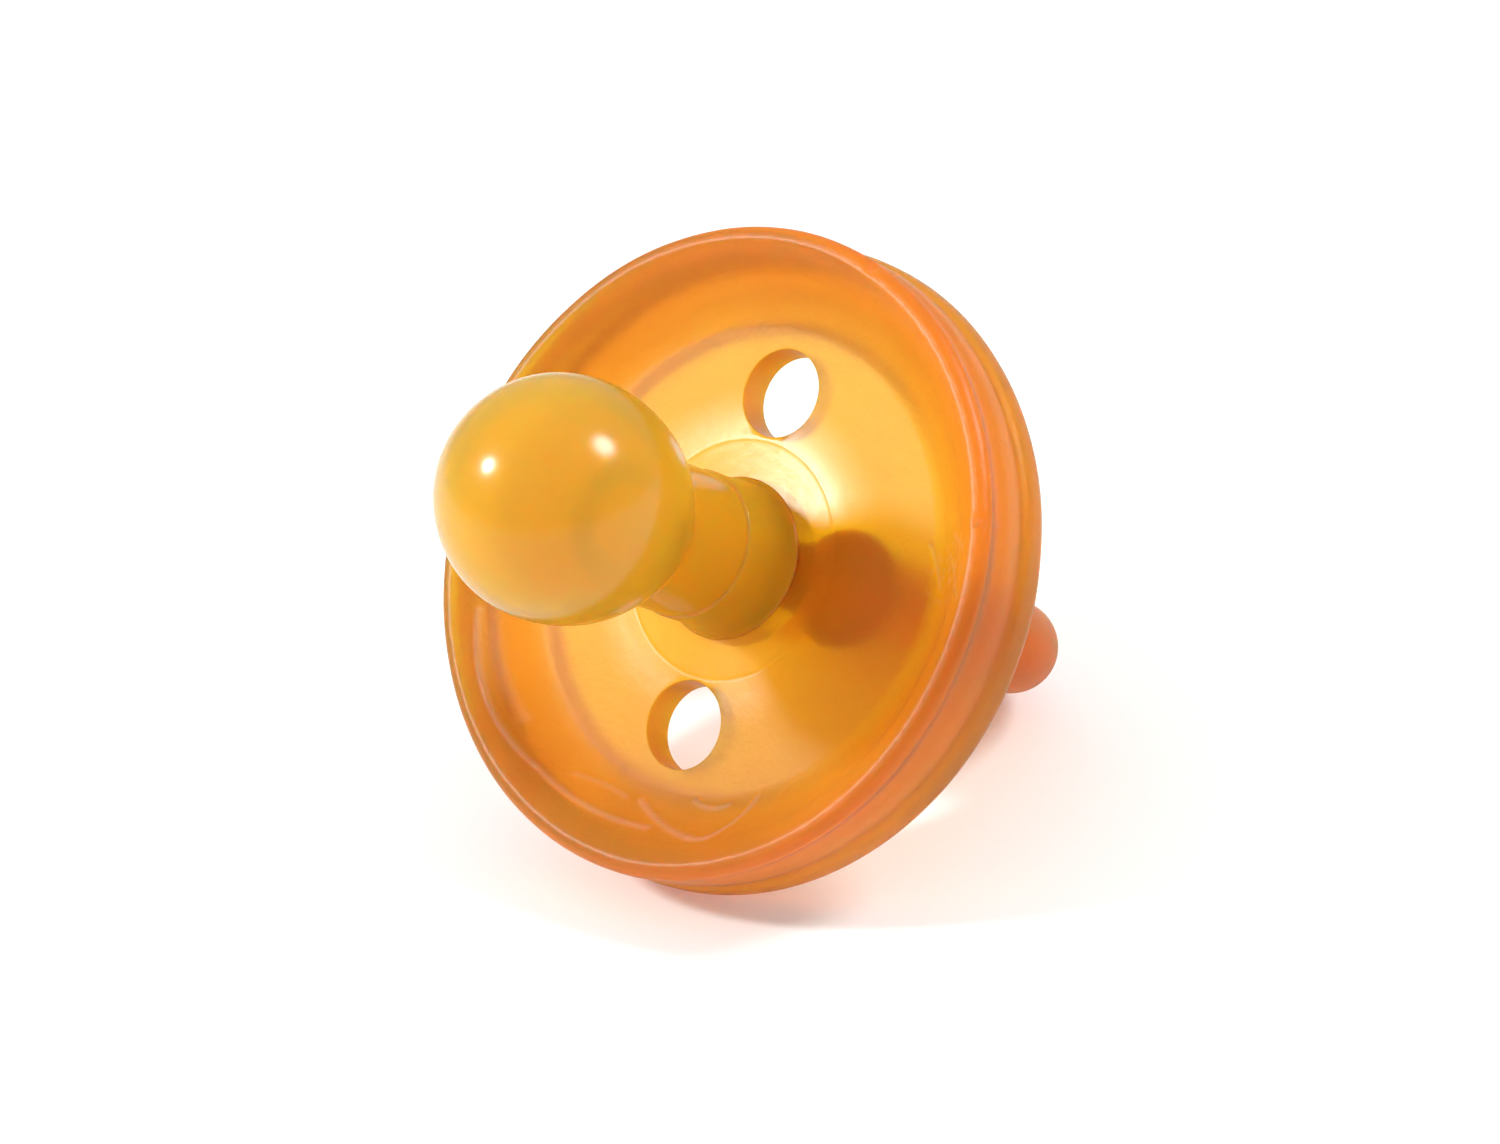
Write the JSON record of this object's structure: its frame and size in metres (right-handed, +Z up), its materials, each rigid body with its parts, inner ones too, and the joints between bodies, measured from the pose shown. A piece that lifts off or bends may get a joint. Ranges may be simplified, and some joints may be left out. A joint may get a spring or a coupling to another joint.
{
  "type": "pacifier",
  "caption": "Soft rubber pacifier: cherry-shaped hollow teat on a round dished shield with vent holes, and a folding loop handle behind.",
  "frame": {"origin": "on the surface that the pacifier rests on, under the middle of its bounding box, with the pacifier leaning on its rear rim and the end of its loop", "axes": "+Z up; the teat points towards -Y and up at 38.3 degrees above the surface; +X to the right seen from the teat's side looking along +Y; the two feet of the loop lie along X"},
  "size_m": [0.045, 0.047, 0.0395],
  "materials": {
    "teat_rubber": "glossy translucent natural rubber, honey coloured",
    "shield_rubber": "satin translucent natural rubber, amber to orange where it is thick",
    "handle_rubber": "satin translucent natural rubber, rusty orange"
  },
  "bodies": {
    "pacifier": {"teat": "teat_rubber", "teat_plug": "shield_rubber", "front_shield": "shield_rubber", "back_plate": "shield_rubber", "left_handle_foot": "handle_rubber", "right_handle_foot": "handle_rubber"},
    "handle": {"handle_loop": "handle_rubber"}
  },
  "joints": [
    {"name": "handle_fold", "type": "hinge", "parent": "pacifier", "child": "handle", "pos_m": [0, 0.00487, 0.0154], "axis": [1, 0, 0], "range_deg": [-70, 70], "stiffness_Nm_per_rad": 0.06}
  ]
}
